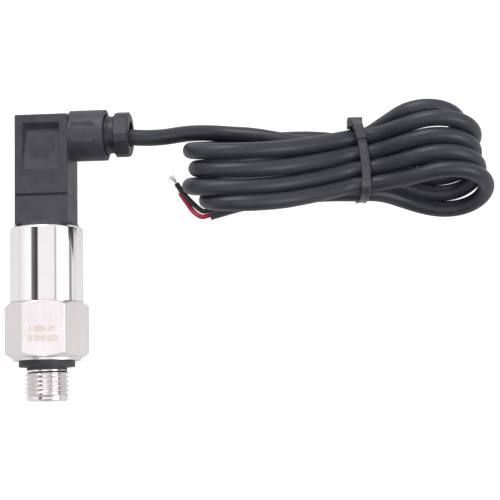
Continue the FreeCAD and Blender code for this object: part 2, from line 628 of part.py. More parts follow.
leadRoute = [(28.2, 66.25, 2.65), (35.3, 66.8, 0.7), (42.0, 68.8, -3.4), (48.5, 69.8, -6.9),
             (55.4, 69.3, -7.3), (62.3, 67.9, -4.6), (68.8, 66.5, -3.5)]
tailRoute = [(67.5, 49.0, -8.7), (61.0, 48.2, -8.7), (54.8, 46.7, -8.7), (48.7, 44.96, -8.7)]
redRoute = [(44.8, 44.6, -9.4), (43.4, 46.0, -10.1), (42.2, 47.9, -10.25), (41.0, 49.6, -10.2),
            (39.9, 51.35, -10.25)]
blackRoute = [(45.2, 46.5, -8.65), (43.6, 48.0, -8.6), (42.2, 49.5, -8.5), (41.0, 50.9, -8.45),
              (40.0, 52.4, -8.55), (38.9, 54.0, -8.95)]


def makeCable():
    cable = size("cable_diameter")
    core = size("core_diameter")
    start = [onSpoutAxis(size("spout_floor")), onSpoutAxis(size("spout_floor") + 9.0)]
    makeCord("cable_lead", start + leadRoute, cable)
    makeCord("cable_tail", tailRoute, cable)
    # the two cores leave the jacket's end face side by side
    end = FreeCAD.Vector(*tailRoute[-1])
    ahead = (end - FreeCAD.Vector(*tailRoute[-2])).normalize()
    aside = ahead.cross(FreeCAD.Vector(0, 0, 1)) * (size("core_spacing") / 2)
    for colour, side, exitRun, route in (("red", -1, 1.7, redRoute), ("black", 1, 1.1, blackRoute)):
        start = end + aside * side
        straight = start + ahead * core * exitRun
        makeCord(f"{colour}_core", [tuple(start), tuple(straight)] + route, core)
        strands = doc.addObject("Part::Cylinder", f"{colour}_core_tip")
        strands.Label = f"{colour}_core_tip"
        bind(strands, "Radius", "tip_diameter/2")
        bind(strands, "Height", "tip_length")
        last, before = FreeCAD.Vector(*route[-1]), FreeCAD.Vector(*route[-2])
        strands.Placement = FreeCAD.Placement(last, FreeCAD.Rotation(FreeCAD.Vector(0, 0, 1), last - before))


def makeInnerCores():
    """The two cores from the end of the cable's jacket to the east and south sockets."""
    core = size("core_diameter")
    offset = size("blade_offset")
    gap = size("core_spacing") / 2
    level = size("spout_level")
    start = size("spout_floor")
    foot = size(insertTop)
    red = [(start, level, gap), (offset + 1.2, level, gap), (offset, level - 1.6, gap / 2),
           (offset, foot + 1.4, 0), (offset, foot, 0)]
    black = [(start, level, -gap), (offset + 1.9, level, -gap), (offset - 0.6, level - 0.6, -offset + 0.7),
             (1.0, level - 2.4, -offset), (0.0, foot + 1.6, -offset), (0.0, foot, -offset)]
    makeCord("red_inner_core", [turned(*point) for point in red], core)
    makeCord("black_inner_core", [turned(*point) for point in black], core)


# ---------------------------------------------------------------- hank and its tie
# each station: place along X, bottom from and to, top from and to, lowest and highest level
hankStations = [
    (40.8, 50.0, 64.2, 47.5, 62.0, 0.5, 10.5), (44.0, 47.5, 66.0, 44.5, 63.0, -2.0, 15.5),
    (49.0, 46.5, 67.2, 41.8, 62.5, -5.5, 18.8), (57.0, 46.0, 67.6, 41.6, 62.2, -11.0, 20.2),
    (68.0, 45.0, 69.3, 42.0, 62.8, -11.0, 19.8), (76.0, 44.5, 69.3, 43.9, 65.0, -11.0, 15.4),
    (84.0, 45.0, 67.5, 45.6, 67.3, -10.4, 8.4)]
waist = (47.6, 68.6, 47.6, 68.6, -9.8, 2.9)
fanStations = [
    (104.5, 45.4, 68.5, 48.5, 72.4, -10.8, 9.6), (112.0, 43.4, 67.4, 50.5, 75.4, -11.0, 18.8),
    (119.0, 42.7, 67.2, 50.9, 75.6, -11.0, 19.8), (125.0, 42.8, 66.8, 50.6, 75.0, -10.2, 18.9),
    (130.0, 43.8, 65.5, 49.9, 71.5, -7.6, 16.2), (134.6, 46.2, 54.0, 48.4, 57.0, -1.5, 10.0)]
waistReach = 5.2
sectionCut = 3.2


def hankSection(x, footFrom, footTo, topFrom, topTo, low, high):
    cut = min(sectionCut, (high - low) / 3)
    corners = [(footFrom + cut, low), (footTo - cut, low), (footTo, low + cut), (topTo, high - cut),
               (topTo - cut, high), (topFrom + cut, high), (topFrom, high - cut), (footFrom, low + cut)]
    points = [FreeCAD.Vector(x, y, z) for y, z in corners]
    return Part.makePolygon(points + points[:1])


def makeHank():
    middle = size("tie_place")
    stations = hankStations + [(middle - waistReach,) + waist, (middle + waistReach,) + waist] + fanStations
    solid = Part.makeLoft([hankSection(*station) for station in stations], True, True)
    thing = doc.addObject("Part::Feature", "cable_hank")
    thing.Label = "cable_hank"
    thing.Shape = solid
    thing.Placement = FreeCAD.Placement()


def makeTie():
    body = newBody("cable_tie")
    middleY = (waist[0] + waist[1]) / 2
    middleZ = (waist[4] + waist[5]) / 2
    halfY = (waist[1] - waist[0]) / 2
    halfZ = (waist[5] - waist[4]) / 2
    reach = f"({halfY}+tie_head_depth)"
    lean = "tan(tie_slant)"

    def band(grow):
        y, z = f"({halfY}+{grow})", f"({halfZ}+{grow})"
        bevel = f"({sectionCut}+0.586*{grow})"
        return [(f"-{y}+{bevel}", f"-{z}"), (f"{y}-{bevel}", f"-{z}"), (y, f"-{z}+{bevel}"),
                (y, f"{z}-{bevel}"), (f"{y}-{bevel}", z), (f"-{y}+{bevel}", z), (f"-{y}", f"{z}-{bevel}"),
                (f"-{y}", f"-{z}+{bevel}")]

    strap = outline(body, "strap_outline", "YZ_Plane", band("tie_thickness"))
    extrude(body, "strap", strap, f"tie_width+2*{reach}*{lean}", symmetric=True)
    for name, side in (("left", "-"), ("right", "")):
        waste = [(f"{side}5*tie_width+{reach}*{lean}", f"-{reach}"),
                 (f"{side}5*tie_width-{reach}*{lean}", reach)]
        edge = [(f"{side}tie_width/2-{reach}*{lean}", reach),
                (f"{side}tie_width/2+{reach}*{lean}", f"-{reach}")]
        cut = outline(body, f"{name}_side_outline", "XY_Plane", waste + edge)
        extrude(body, f"{name}_side", cut, f"4*{halfZ}", cuts=True, symmetric=True)
    headX = f"({halfY}+tie_head_depth/2)*{lean}"
    head = centred("tie_head_width", "tie_head_depth", x=f"-{headX}", y=f"({halfY}+tie_head_depth/2)")
    headLevel = f"{halfZ}-{sectionCut}-tie_head_height/2"
    head = outline(body, "head_outline", "XY_Plane", head, ("0", "0", headLevel))
    extrude(body, "head", head, "tie_head_height", symmetric=True)
    opening = outline(body, "opening_outline", "YZ_Plane", band("0"))
    extrude(body, "opening", opening, f"2*tie_width+2*{reach}*{lean}", cuts=True, symmetric=True)
    body.Placement.Base = FreeCAD.Vector(0, middleY, middleZ)
    bind(body, "Placement.Base.x", "tie_place")


makeHexFitting()
makeThreadSeal()
makeCellSeal()
makeCell()
makeSleeve()
makeBoard()
makeCellPins()
makePlugBase()
makeBaseSeal()
makeBlades()
makeGasket()
makeHousing()
makeInsert()
makeSockets()
makeClampScrews()
makeRetainingScrew()
makeGland()
makeCable()
makeInnerCores()
makeHank()
makeTie()
doc.recompute()

for thing in doc.Objects:
    if "Invalid" in thing.State or "Error" in thing.State:
        raise RuntimeError(f"{thing.Label} did not compute: {thing.State}")

grouped = {link for group in doc.Objects if group.TypeId == "Part::Compound" for link in group.Links}
kinds = ("PartDesign::Body", "Part::Torus", "Part::Cylinder", "Part::Compound", "Part::Feature")
os.makedirs("parts", exist_ok=True)
for thing in doc.Objects:
    if thing.TypeId not in kinds or thing in grouped:
        continue
    shape = thing.Shape
    if shape.isNull() or not shape.isValid() or not shape.Solids:
        raise RuntimeError(f"{thing.Label} has no sound shape")
    shape.exportStep(f"parts/{thing.Label}.step")
    print(f"{thing.Label}: {len(shape.Solids)} solid, {shape.Volume:.1f} mm3")
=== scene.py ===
import json
import random
from math import cos, pi, radians, sin

import bmesh
import bpy
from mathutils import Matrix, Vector


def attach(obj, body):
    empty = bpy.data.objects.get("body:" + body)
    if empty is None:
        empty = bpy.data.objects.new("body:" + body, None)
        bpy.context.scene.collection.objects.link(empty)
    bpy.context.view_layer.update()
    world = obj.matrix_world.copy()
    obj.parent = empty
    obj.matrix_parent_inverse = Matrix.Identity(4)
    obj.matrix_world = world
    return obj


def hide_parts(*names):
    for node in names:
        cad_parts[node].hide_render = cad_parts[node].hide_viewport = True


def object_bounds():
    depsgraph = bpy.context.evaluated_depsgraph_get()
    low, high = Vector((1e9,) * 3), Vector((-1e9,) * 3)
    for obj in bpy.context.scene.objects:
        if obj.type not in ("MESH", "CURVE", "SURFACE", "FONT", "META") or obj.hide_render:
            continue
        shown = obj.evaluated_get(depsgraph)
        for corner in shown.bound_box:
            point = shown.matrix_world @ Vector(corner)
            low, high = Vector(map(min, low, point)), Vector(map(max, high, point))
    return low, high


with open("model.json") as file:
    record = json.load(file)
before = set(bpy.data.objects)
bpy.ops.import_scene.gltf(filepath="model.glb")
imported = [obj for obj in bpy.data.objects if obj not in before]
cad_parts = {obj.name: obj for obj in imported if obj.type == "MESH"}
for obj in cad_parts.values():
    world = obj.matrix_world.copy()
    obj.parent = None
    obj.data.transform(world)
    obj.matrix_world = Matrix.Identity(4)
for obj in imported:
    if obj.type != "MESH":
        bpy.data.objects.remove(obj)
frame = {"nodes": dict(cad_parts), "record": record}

cadBox = [list(corner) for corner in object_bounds()]
nodes = frame["nodes"]
scene = bpy.context.scene
mm = 0.001
stemTop = -0.05  # the fitting's stem is everything below this Y, in mm
print("frame loaded:", len(nodes), "nodes")

camera = {"place": (0.058365, -0.0278, 0.539626), "turn": (0.111, -0.003, -0.016), "lens": 130.4}
studio = {
    "floorLevel": cadBox[0][2], "floorSize": 3.0, "floorColour": (0.4, 0.395, 0.4), "floorLift": 0.95,
    "mirroredLift": 0.55, "mirroredTint": (1.0, 0.98, 0.995),
    "surround": 0.16, "surroundColour": (0.98, 0.98, 1.0),
    # what metal mirrors, by angle round the long axis from straight up, left side negative
    "bands": [(-180, 0.8), (-92, 0.8), (-76, 0.96), (-58, 1.12), (-44, 1.15), (-41.5, 0.2), (-34, 0.15),
              (-30, 0.065), (-22.5, 0.075), (-20, 1.02), (30, 1.0), (31.5, 0.5), (35.5, 0.52), (37, 1.15),
              (80, 1.15), (82, 0.3), (89, 0.34), (94, 0.8), (180, 0.8)],
    "footFade": (-0.95, -0.4, 0.12, 1.0),  # along Y: from, to, and the share of the bands there
    "lamps": [  # name, place, aims at, width, height, watts
        ("keyLamp", (-0.35, 0.9, 0.6), (0.05, 0.04, 0.0), 0.9, 0.4, 9.6),
        ("sideLamp", (0.5, -0.05, 0.35), (0.12, 0.05, 0.0), 0.25, 0.35, 1.35),
        ("fillLamp", (-0.2, -0.4, 1.0), (0.05, 0.04, 0.0), 0.8, 0.6, 2.1),
    ],
}


def aim(thing, place, target):
    thing.location = place
    thing.rotation_euler = (Vector(target) - Vector(place)).to_track_quat("-Z", "Y").to_euler()


def addCamera():
    data = bpy.data.cameras.new("camera")
    data.lens, data.clip_start, data.clip_end = camera["lens"], 0.01, 10.0
    viewer = bpy.data.objects.new("camera", data)
    viewer.location, viewer.rotation_euler = camera["place"], camera["turn"]
    scene.collection.objects.link(viewer)
    scene.camera = viewer


def addLamps():
    for name, place, target, width, height, watts in studio["lamps"]:
        lamp = bpy.data.lights.new(name, "AREA")
        lamp.shape, lamp.size, lamp.size_y, lamp.energy = "RECTANGLE", width, height, watts
        holder = bpy.data.objects.new(name, lamp)
        aim(holder, place, target)
        scene.collection.objects.link(holder)


def addWorld():
    world = bpy.data.worlds.new("studio")
    world.use_nodes = True
    scene.world = world
    tree = world.node_tree
    tree.nodes.clear()
    make, link = tree.nodes.new, tree.links.new
    direction, parts = make("ShaderNodeTexCoord"), make("ShaderNodeSeparateXYZ")
    link(direction.outputs["Generated"], parts.inputs[0])
    angle = make("ShaderNodeMath")
    angle.operation = "ARCTAN2"
    link(parts.outputs["X"], angle.inputs[0])
    link(parts.outputs["Z"], angle.inputs[1])
    span = make("ShaderNodeMapRange")
    span.inputs["From Min"].default_value, span.inputs["From Max"].default_value = -pi, pi
    link(angle.outputs[0], span.inputs["Value"])
    ramp = make("ShaderNodeValToRGB")
    for k, (degrees, level) in enumerate(studio["bands"]):
        place = (degrees + 180) / 360
        stop = ramp.color_ramp.elements[k] if k < 2 else ramp.color_ramp.elements.new(place)
        stop.position = place
        stop.color = tuple(level * tint for tint in studio["mirroredTint"]) + (1,)
    link(span.outputs[0], ramp.inputs[0])
    behind = make("ShaderNodeMapRange")
    for socket, value in zip(("From Min", "From Max", "To Min", "To Max"), studio["footFade"]):
        behind.inputs[socket].default_value = value
    link(parts.outputs["Y"], behind.inputs["Value"])
    path, output = make("ShaderNodeLightPath"), make("ShaderNodeOutputWorld")
    plain, mirrored, white = [make("ShaderNodeBackground") for _ in range(3)]
    plain.inputs["Color"].default_value = studio["surroundColour"] + (1,)
    plain.inputs["Strength"].default_value = studio["surround"]
    link(ramp.outputs[0], mirrored.inputs["Color"])
    link(behind.outputs[0], mirrored.inputs["Strength"])
    white.inputs["Color"].default_value = (1, 1, 1, 1)
    seen = plain.outputs[0]
    for ray, level in (("Is Glossy Ray", mirrored), ("Is Camera Ray", white)):
        pick = make("ShaderNodeMixShader")
        link(path.outputs[ray], pick.inputs[0])
        link(seen, pick.inputs[1])
        link(level.outputs[0], pick.inputs[2])
        seen = pick.outputs[0]
    link(seen, output.inputs[0])


def addFloor():
    half, level = studio["floorSize"] / 2, studio["floorLevel"]
    mesh = bpy.data.meshes.new("floor")
    corners = [(-half, -half, level), (half, -half, level), (half, half, level), (-half, half, level)]
    mesh.from_pydata(corners, [], [(0, 1, 2, 3)])
    floor = bpy.data.objects.new("floor", mesh)
    scene.collection.objects.link(floor)
    paint = bpy.data.materials.new("floorPaint")
    paint.use_nodes = True
    tree = paint.node_tree
    tree.nodes.clear()
    make, link = tree.nodes.new, tree.links.new
    matt, lift = make("ShaderNodeBsdfDiffuse"), make("ShaderNodeEmission")
    path = make("ShaderNodeLightPath")
    matt.inputs["Color"].default_value = studio["floorColour"] + (1,)
    scaled = []
    for ray, level in (("Is Camera Ray", studio["floorLift"]), ("Is Glossy Ray", studio["mirroredLift"])):
        scaled.append(make("ShaderNodeMath"))
        scaled[-1].operation = "MULTIPLY"
        link(path.outputs[ray], scaled[-1].inputs[0])
        scaled[-1].inputs[1].default_value = level
    total = make("ShaderNodeMath")
    link(scaled[0].outputs[0], total.inputs[0])
    link(scaled[1].outputs[0], total.inputs[1])
    link(total.outputs[0], lift.inputs["Strength"])
    both, output = make("ShaderNodeAddShader"), make("ShaderNodeOutputMaterial")
    link(matt.outputs[0], both.inputs[0])
    link(lift.outputs[0], both.inputs[1])
    link(both.outputs[0], output.inputs[0])
    mesh.materials.append(paint)


addCamera()
addLamps()
addWorld()
addFloor()
scene.view_settings.view_transform = "Standard"
print("camera, light and floor set")


class Group:  # a node group with named sockets, and short ways to add to it
    def __init__(self, name, inputs, outputs):
        self.tree = bpy.data.node_groups.new(name, "ShaderNodeTree")
        kinds = {"value": "NodeSocketFloat", "colour": "NodeSocketColor"}
        for label, kind, value in inputs:
            socket = self.tree.interface.new_socket(name=label, in_out="INPUT", socket_type=kinds[kind])
            socket.default_value = value
        for label, kind in outputs:
            self.tree.interface.new_socket(name=label, in_out="OUTPUT", socket_type=kinds[kind])
        self.start, self.end = self.add("NodeGroupInput"), self.add("NodeGroupOutput")

    def add(self, kind, **settings):
        node = self.tree.nodes.new(kind)
        for key, value in settings.items():
            setattr(node, key, value)
        return node

    def link(self, source, target):
        self.tree.links.new(source, target)

    def math(self, operation, a, b=None):
        node = self.add("ShaderNodeMath", operation=operation)
        for k, value in enumerate((a, b)):
            if isinstance(value, (int, float)):
                node.inputs[k].default_value = value
            elif value is not None:
                self.link(value, node.inputs[k])
        return node.outputs[0]

    def mix(self, share, a, b):
        node = self.add("ShaderNodeMix", data_type="RGBA")
        self.link(share, node.inputs["Factor"])
        self.link(a, node.inputs["A"])
        self.link(b, node.inputs["B"])
        return node.outputs["Result"]

    def spread(self, value, low, high):
        node = self.add("ShaderNodeMapRange")
        node.inputs["From Min"].default_value, node.inputs["From Max"].default_value = low, high
        self.link(value, node.inputs["Value"])
        return node.outputs[0]

    def noise(self, scale, detail, stretch=(1, 1, 1)):
        place, mapping = self.add("ShaderNodeTexCoord"), self.add("ShaderNodeMapping")
        mapping.inputs["Scale"].default_value = stretch
        self.link(place.outputs["Object"], mapping.inputs["Vector"])
        texture = self.add("ShaderNodeTexNoise")
        texture.inputs["Detail"].default_value = detail
        self.link(mapping.outputs[0], texture.inputs["Vector"])
        self.link(scale, texture.inputs["Scale"])
        return texture.outputs["Fac"]


blend = {"grain": 0.55, "cloud": 0.45, "grainDetail": 3.0, "cloudDetail": 2.0, "contrast": (0.36, 0.64),
         "wear": 0.35, "wornFrom": 0.5, "wornTo": 0.56}


def makeFinish(name, stretch, fineness):
    # a surface of two close colours and two roughnesses, cloudy and grainy, paler on worn edges
    group = Group(name, [("Light", "colour", (0.5, 0.5, 0.5, 1)), ("Dark", "colour", (0.4, 0.4, 0.4, 1)),
                         ("Scale", "value", 900.0), ("Smooth", "value", 0.3), ("Rough", "value", 0.5)],
                  [("Colour", "colour"), ("Roughness", "value"), ("Height", "value")])
    scale = group.start.outputs["Scale"]
    grain = group.noise(scale, blend["grainDetail"], stretch)
    cloud = group.noise(group.math("MULTIPLY", scale, fineness), blend["cloudDetail"])
    both = group.math("ADD", group.math("MULTIPLY", grain, blend["grain"]),
                      group.math("MULTIPLY", cloud, blend["cloud"]))
    pointiness = group.add("ShaderNodeNewGeometry").outputs["Pointiness"]
    worn = group.spread(pointiness, blend["wornFrom"], blend["wornTo"])
    worn = group.math("MULTIPLY", worn, blend["wear"])
    share = group.math("ADD", group.spread(both, *blend["contrast"]), worn)
    group.link(group.mix(share, group.start.outputs["Dark"], group.start.outputs["Light"]),
               group.end.inputs["Colour"])
    gap = group.math("SUBTRACT", group.start.outputs["Rough"], group.start.outputs["Smooth"])
    group.link(group.math("ADD", group.start.outputs["Smooth"], group.math("MULTIPLY", gap, share)),
               group.end.inputs["Roughness"])
    group.link(grain, group.end.inputs["Height"])
    return group.tree


finishes = {  # moulded, turned across and drawn along
    "grained": makeFinish("grainedFinish", (1, 1, 1), 0.08),
    "turned": makeFinish("turnedFinish", (0.04, 1, 0.04), 0.05),
    "drawn": makeFinish("drawnFinish", (1, 0.05, 1), 0.12),
}


# finish, light colour, dark colour, grain scale, roughness from and to, metal, specular level,
# strength of the bump and its depth in mm
looks = {
    "fitting_steel": ("drawn", (0.83, 0.785, 0.79), (0.77, 0.725, 0.73),
                      2600, 0.26, 0.34, 1.0, 0.5, 0.12, 0.01),
    "sleeve_steel": ("turned", (0.9, 0.875, 0.88), (0.85, 0.825, 0.835),
                     3000, 0.05, 0.09, 1.0, 0.5, 0.04, 0.004),
    "seal_rubber": ("grained", (0.085, 0.084, 0.1), (0.05, 0.05, 0.06),
                    4000, 0.45, 0.6, 0.0, 0.4, 0.3, 0.02),
    "cell_ceramic": ("grained", (0.82, 0.8, 0.76), (0.74, 0.72, 0.68),
                     3000, 0.4, 0.55, 0.0, 0.5, 0.15, 0.01),
    "spring_steel": ("turned", (0.58, 0.57, 0.55), (0.45, 0.44, 0.42),
                     2600, 0.3, 0.42, 1.0, 0.5, 0.15, 0.01),
    "board_green": ("grained", (0.03, 0.2, 0.09), (0.02, 0.14, 0.06),
                    2000, 0.35, 0.5, 0.0, 0.4, 0.2, 0.01),
    "chip_black": ("grained", (0.035, 0.035, 0.035), (0.02, 0.02, 0.02),
                   5000, 0.5, 0.65, 0.0, 0.4, 0.3, 0.01),
    "capacitor_sleeve": ("grained", (0.06, 0.07, 0.12), (0.04, 0.05, 0.09),
                         1500, 0.2, 0.3, 0.0, 0.4, 0.1, 0.01),
    "contact_tin": ("drawn", (0.74, 0.72, 0.68), (0.6, 0.58, 0.55),
                    2500, 0.25, 0.4, 1.0, 0.5, 0.15, 0.01),
    "lead_wire": ("grained", (0.6, 0.56, 0.12), (0.5, 0.46, 0.08),
                  1500, 0.3, 0.4, 0.0, 0.4, 0.1, 0.01),
    "base_plastic": ("grained", (0.076, 0.074, 0.094), (0.05, 0.049, 0.064),
                     3800, 0.4, 0.56, 0.0, 0.3, 0.25, 0.015),
    "bush_brass": ("turned", (0.75, 0.58, 0.3), (0.62, 0.46, 0.22),
                   2400, 0.25, 0.36, 1.0, 0.5, 0.15, 0.01),
    "gasket_rubber": ("grained", (0.04, 0.042, 0.048), (0.022, 0.023, 0.028),
                      3500, 0.5, 0.65, 0.0, 0.3, 0.25, 0.015),
    "housing_plastic": ("grained", (0.07, 0.068, 0.086), (0.046, 0.0445, 0.058),
                        3800, 0.38, 0.54, 0.0, 0.3, 0.25, 0.015),
    "insert_plastic": ("grained", (0.13, 0.13, 0.14), (0.1, 0.1, 0.11),
                       3600, 0.45, 0.6, 0.0, 0.4, 0.25, 0.015),
    "screw_steel": ("turned", (0.64, 0.64, 0.62), (0.5, 0.5, 0.49),
                    2400, 0.28, 0.4, 1.0, 0.5, 0.15, 0.01),
    "nut_plastic": ("grained", (0.05, 0.049, 0.062), (0.032, 0.031, 0.041),
                    3200, 0.32, 0.46, 0.0, 0.3, 0.2, 0.012),
    "cable_jacket": ("grained", (0.043, 0.0435, 0.06), (0.029, 0.03, 0.043),
                     2600, 0.34, 0.46, 0.0, 0.35, 0.2, 0.012),
    "red_insulation": ("grained", (0.72, 0.03, 0.095), (0.56, 0.018, 0.065),
                       2000, 0.26, 0.38, 0.0, 0.4, 0.1, 0.01),
    "black_insulation": ("grained", (0.02, 0.021, 0.023), (0.01, 0.011, 0.013),
                         2000, 0.3, 0.42, 0.0, 0.4, 0.1, 0.01),
    "tinned_strands": ("drawn", (0.86, 0.84, 0.82), (0.7, 0.68, 0.66),
                       3000, 0.2, 0.34, 1.0, 0.5, 0.1, 0.005),
    "tie_nylon": ("grained", (0.08, 0.08, 0.091), (0.05, 0.05, 0.058),
                  2200, 0.2, 0.3, 0.0, 0.5, 0.08, 0.008),
}


roundings = {"grained": 0.22, "turned": 0.0, "drawn": 0.12}  # how far edges are broken, in mm
roundingSamples = 6


def makeMaterial(slotName, look):
    finish, light, dark, scale, smooth, rough, metal, specular, strength, depth = look
    material = bpy.data.materials.new(slotName)
    material.use_nodes = True
    tree = material.node_tree
    shader = tree.nodes["Principled BSDF"]
    group = tree.nodes.new("ShaderNodeGroup")
    group.node_tree = finishes[finish]
    group.inputs["Light"].default_value, group.inputs["Dark"].default_value = light + (1,), dark + (1,)
    group.inputs["Scale"].default_value = scale
    group.inputs["Smooth"].default_value, group.inputs["Rough"].default_value = smooth, rough
    bump = tree.nodes.new("ShaderNodeBump")
    bump.inputs["Strength"].default_value, bump.inputs["Distance"].default_value = strength, depth * mm
    tree.links.new(group.outputs["Colour"], shader.inputs["Base Color"])
    tree.links.new(group.outputs["Roughness"], shader.inputs["Roughness"])
    tree.links.new(group.outputs["Height"], bump.inputs["Height"])
    tree.links.new(bump.outputs[0], shader.inputs["Normal"])
    if roundings[finish]:
        rounding = tree.nodes.new("ShaderNodeBevel")
        rounding.samples = roundingSamples
        rounding.inputs["Radius"].default_value = roundings[finish] * mm
        tree.links.new(rounding.outputs[0], bump.inputs["Normal"])
    shader.inputs["Metallic"].default_value = metal
    shader.inputs["Specular IOR Level"].default_value = specular
    return material


etching = {
    "colour": (0.62, 0.5, 0.41, 1), "rough": 0.2, "strength": 1.28, "speckle": 900.0,
    "facet": 10.6, "stemShine": 0.6,
    # each row: Y from and to, and the X ranges of its blocks
    "rows": [((8.2, 9.8), [(-4.2, -3.4), (-2.9, 0.9), (1.4, 3.4)]),
             ((5.3, 7.0), [(-4.4, -3.0), (-2.5, 0.7), (1.2, 4.5)])],
}


def etch(material):
    # rows of plain blocks burnt into the upper facet, and a smoother stem
    tree = material.node_tree
    make, link = tree.nodes.new, tree.links.new
    shader = tree.nodes["Principled BSDF"]
    place, parts = make("ShaderNodeTexCoord"), make("ShaderNodeSeparateXYZ")
    link(place.outputs["Object"], parts.inputs[0])

    def compute(operation, a, b):
        node = make("ShaderNodeMath")
        node.operation = operation
        for k, value in enumerate((a, b)):
            if isinstance(value, float):
                node.inputs[k].default_value = value
            else:
                link(value, node.inputs[k])
        return node.outputs[0]

    def inside(axis, low, high):
        return compute("MULTIPLY", compute("GREATER_THAN", parts.outputs[axis], low * mm),
                       compute("LESS_THAN", parts.outputs[axis], high * mm))

    mask = None
    for (low, high), blocks in etching["rows"]:
        row = None
        for block in blocks:
            here = inside("X", *block)
            row = here if row is None else compute("MAXIMUM", row, here)
        row = compute("MULTIPLY", row, inside("Y", low, high))
        mask = row if mask is None else compute("MAXIMUM", mask, row)
    mask = compute("MULTIPLY", mask, compute("GREATER_THAN", parts.outputs["Z"], etching["facet"] * mm))
    speckle, tint = make("ShaderNodeTexNoise"), make("ShaderNodeMix")
    speckle.inputs["Scale"].default_value = etching["speckle"]
    link(place.outputs["Object"], speckle.inputs["Vector"])
    share = compute("MULTIPLY", mask, compute("MULTIPLY", speckle.outputs["Fac"], etching["strength"]))
    tint.data_type = "RGBA"
    link(share, tint.inputs["Factor"])
    link(shader.inputs["Base Color"].links[0].from_socket, tint.inputs["A"])
    tint.inputs["B"].default_value = etching["colour"]
    link(tint.outputs["Result"], shader.inputs["Base Color"])
    shine = shader.inputs["Roughness"].links[0].from_socket
    stem = compute("LESS_THAN", parts.outputs["Y"], stemTop * mm)
    less = compute("MULTIPLY", stem, 1 - etching["stemShine"])
    shine = compute("MULTIPLY", shine, compute("SUBTRACT", 1.0, less))
    link(compute("ADD", shine, compute("MULTIPLY", share, etching["rough"])), shader.inputs["Roughness"])


materials = {slotName: makeMaterial(slotName, look) for slotName, look in looks.items()}
etch(materials["fitting_steel"])
print("materials made:", len(materials))

for part in frame["record"]["subparts"]:
    for place in nodes[part["node"]].material_slots:
        place.material = materials[part["material_slot"]]


def addPiece(name, data, body, slotName, *replaced):
    piece = bpy.data.objects.new(name, data)
    scene.collection.objects.link(piece)
    data.materials.append(materials[slotName])
    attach(piece, body)
    if replaced:
        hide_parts(*replaced)
    return piece


def splineCurve(name, points, diameter, sides, steps):
    curve = bpy.data.curves.new(name, "CURVE")
    curve.dimensions = "3D"
    curve.resolution_u, curve.bevel_depth, curve.bevel_resolution = steps, diameter / 2, sides
    curve.use_fill_caps = True
    spline = curve.splines.new("NURBS")
    spline.points.add(len(points) - 1)
    for control, point in zip(spline.points, points):
        control.co = tuple(value * mm for value in point) + (1.0,)
    spline.order_u = 3
    spline.use_endpoint_u = True
    spline.use_smooth = True
    return curve


cable = {
    "sides": 9, "steps": 4,
    # measured late as 4.9 across, so the solid underneath still has 4.6
    "diameter": 4.9, "length": 1050.0, "floor": -11.0, "plugTurn": 6.2, "spoutLevel": 67.5, "tieX": 95.4,
    "insideSpout": (10.0, 19.0), "exit": 25.9,  # along the spout's axis
    "lead": [(28.2, 66.25, 2.9), (35.3, 66.7, 1.0), (42.0, 68.6, -3.4), (48.5, 69.35, -6.9),
             (55.4, 68.85, -7.3), (62.3, 67.9, -4.6), (68.8, 66.5, -3.5), (76.5, 64.9, -3.3),
             (85.0, 64.7, -3.6)],
    "leadAtTie": [(92.4, 66.1, -3.9), (97.4, 67.2, -3.6), (100.8, 69.2, -1.3), (104.2, 71.0, 2.4)],
    "tail": [(86.0, 49.9, -5.6), (77.5, 49.8, -8.0), (67.5, 49.0, -8.7), (61.0, 48.2, -8.7),
             (54.8, 46.7, -8.7), (48.7, 44.96, -8.7)],
}
